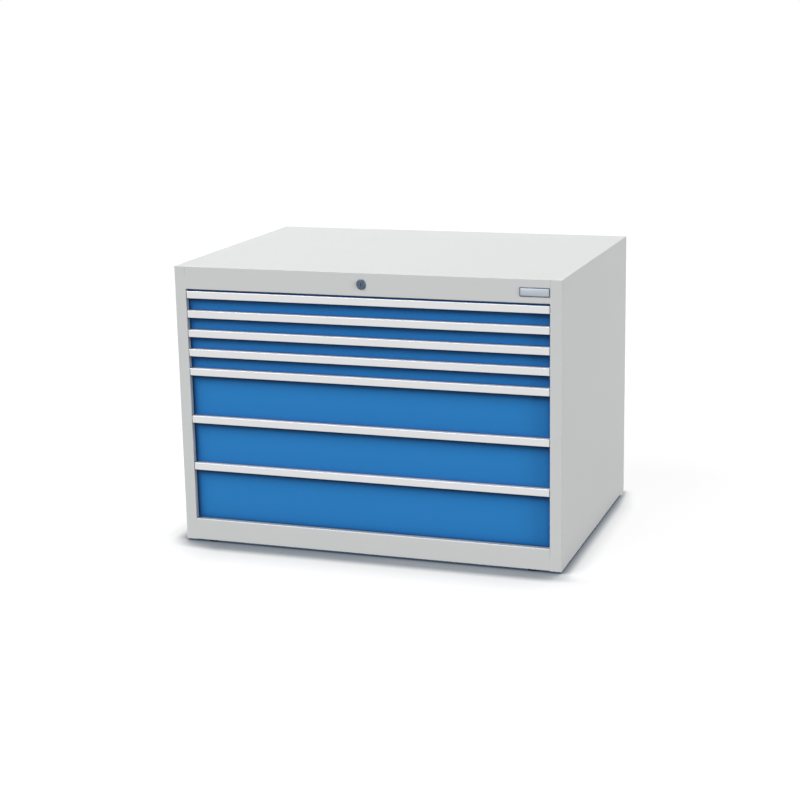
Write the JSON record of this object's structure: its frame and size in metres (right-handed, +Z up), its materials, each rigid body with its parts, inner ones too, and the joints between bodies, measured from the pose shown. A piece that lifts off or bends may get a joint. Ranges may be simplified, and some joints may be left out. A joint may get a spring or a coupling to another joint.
{
  "type": "drawer cabinet",
  "caption": "Low steel drawer cabinet with shallow and deep full-extension drawers, full-width grip strips and a central cylinder lock.",
  "frame": {"origin": "on the floor, in the middle of the cabinet's width and depth", "axes": "+X to the right seen from the front, +Y from the front to the back, +Z up"},
  "size_m": [1.005, 0.739, 0.725],
  "materials": {
    "carcass_paint": "satin powder coat",
    "front_paint": "satin powder coat",
    "tray_paint": "satin powder coat",
    "grip_aluminium": "fine satin anodised",
    "zinc_steel": "bright zinc plated",
    "lock_nickel": "satin nickel plated",
    "roller_plastic": "smooth",
    "glide_plastic": "matt"
  },
  "bodies": {
    "carcass": {"side_panel_left": "carcass_paint", "side_panel_right": "carcass_paint", "top_panel": "carcass_paint", "floor_panel": "carcass_paint", "back_panel": "carcass_paint", "floor_glides": "glide_plastic", "uprights_left": "zinc_steel", "uprights_right": "zinc_steel", "cabinet_rails": "zinc_steel", "lock_housing": "lock_nickel", "lock_nut": "zinc_steel", "shaft_bracket": "zinc_steel", "lock_post": "zinc_steel"},
    "lock_barrel": {"lock_core": "lock_nickel", "lock_shaft": "zinc_steel", "lock_crank": "zinc_steel"},
    "locking_bar": {"lock_bar": "zinc_steel"},
    "drawer_1": {"drawer_1_tray": "tray_paint", "drawer_1_front": "front_paint", "drawer_1_grip": "grip_aluminium", "drawer_1_runners": "zinc_steel"},
    "carriage_1": {"carriage_1_rails": "zinc_steel", "carriage_1_rollers": "roller_plastic"},
    "drawer_2": {"drawer_2_tray": "tray_paint", "drawer_2_front": "front_paint", "drawer_2_grip": "grip_aluminium", "drawer_2_runners": "zinc_steel"},
    "carriage_2": {"carriage_2_rails": "zinc_steel", "carriage_2_rollers": "roller_plastic"},
    "drawer_3": {"drawer_3_tray": "tray_paint", "drawer_3_front": "front_paint", "drawer_3_grip": "grip_aluminium", "drawer_3_runners": "zinc_steel"},
    "carriage_3": {"carriage_3_rails": "zinc_steel", "carriage_3_rollers": "roller_plastic"},
    "drawer_4": {"drawer_4_tray": "tray_paint", "drawer_4_front": "front_paint", "drawer_4_grip": "grip_aluminium", "drawer_4_runners": "zinc_steel"},
    "carriage_4": {"carriage_4_rails": "zinc_steel", "carriage_4_rollers": "roller_plastic"},
    "drawer_5": {"drawer_5_tray": "tray_paint", "drawer_5_front": "front_paint", "drawer_5_grip": "grip_aluminium", "drawer_5_runners": "zinc_steel"},
    "carriage_5": {"carriage_5_rails": "zinc_steel", "carriage_5_rollers": "roller_plastic"},
    "drawer_6": {"drawer_6_tray": "tray_paint", "drawer_6_front": "front_paint", "drawer_6_grip": "grip_aluminium", "drawer_6_runners": "zinc_steel"},
    "carriage_6": {"carriage_6_rails": "zinc_steel", "carriage_6_rollers": "roller_plastic"},
    "drawer_7": {"drawer_7_tray": "tray_paint", "drawer_7_front": "front_paint", "drawer_7_grip": "grip_aluminium", "drawer_7_runners": "zinc_steel"},
    "carriage_7": {"carriage_7_rails": "zinc_steel", "carriage_7_rollers": "roller_plastic"}
  },
  "joints": [
    {"name": "lock_turn", "type": "hinge", "parent": "carcass", "child": "lock_barrel", "pos_m": [0, -0.368, 0.6965], "axis": [0, 1, 0], "range_deg": [0, 90]},
    {"name": "locking_bar_slide", "type": "slide", "parent": "carcass", "child": "locking_bar", "axis": [0, 0, 1], "range_m": [-0.01, 0]},
    {"name": "drawer_1_slide", "type": "slide", "parent": "carcass", "child": "drawer_1", "axis": [0, -1, 0], "range_m": [0, 0.6]},
    {"name": "carriage_1_slide", "type": "slide", "parent": "carcass", "child": "carriage_1", "axis": [0, -1, 0], "range_m": [0, 0.3]},
    {"name": "drawer_2_slide", "type": "slide", "parent": "carcass", "child": "drawer_2", "axis": [0, -1, 0], "range_m": [0, 0.6]},
    {"name": "carriage_2_slide", "type": "slide", "parent": "carcass", "child": "carriage_2", "axis": [0, -1, 0], "range_m": [0, 0.3]},
    {"name": "drawer_3_slide", "type": "slide", "parent": "carcass", "child": "drawer_3", "axis": [0, -1, 0], "range_m": [0, 0.6]},
    {"name": "carriage_3_slide", "type": "slide", "parent": "carcass", "child": "carriage_3", "axis": [0, -1, 0], "range_m": [0, 0.3]},
    {"name": "drawer_4_slide", "type": "slide", "parent": "carcass", "child": "drawer_4", "axis": [0, -1, 0], "range_m": [0, 0.6]},
    {"name": "carriage_4_slide", "type": "slide", "parent": "carcass", "child": "carriage_4", "axis": [0, -1, 0], "range_m": [0, 0.3]},
    {"name": "drawer_5_slide", "type": "slide", "parent": "carcass", "child": "drawer_5", "axis": [0, -1, 0], "range_m": [0, 0.6]},
    {"name": "carriage_5_slide", "type": "slide", "parent": "carcass", "child": "carriage_5", "axis": [0, -1, 0], "range_m": [0, 0.3]},
    {"name": "drawer_6_slide", "type": "slide", "parent": "carcass", "child": "drawer_6", "axis": [0, -1, 0], "range_m": [0, 0.6]},
    {"name": "carriage_6_slide", "type": "slide", "parent": "carcass", "child": "carriage_6", "axis": [0, -1, 0], "range_m": [0, 0.3]},
    {"name": "drawer_7_slide", "type": "slide", "parent": "carcass", "child": "drawer_7", "axis": [0, -1, 0], "range_m": [0, 0.6]},
    {"name": "carriage_7_slide", "type": "slide", "parent": "carcass", "child": "carriage_7", "axis": [0, -1, 0], "range_m": [0, 0.3]}
  ],
  "couplings": [
    {"joint": "lock_turn", "follows": "locking_bar_slide", "rad_per_m": -157.07},
    {"joint": "carriage_1_slide", "follows": "drawer_1_slide", "ratio": 0.5},
    {"joint": "carriage_2_slide", "follows": "drawer_2_slide", "ratio": 0.5},
    {"joint": "carriage_3_slide", "follows": "drawer_3_slide", "ratio": 0.5},
    {"joint": "carriage_4_slide", "follows": "drawer_4_slide", "ratio": 0.5},
    {"joint": "carriage_5_slide", "follows": "drawer_5_slide", "ratio": 0.5},
    {"joint": "carriage_6_slide", "follows": "drawer_6_slide", "ratio": 0.5},
    {"joint": "carriage_7_slide", "follows": "drawer_7_slide", "ratio": 0.5}
  ]
}
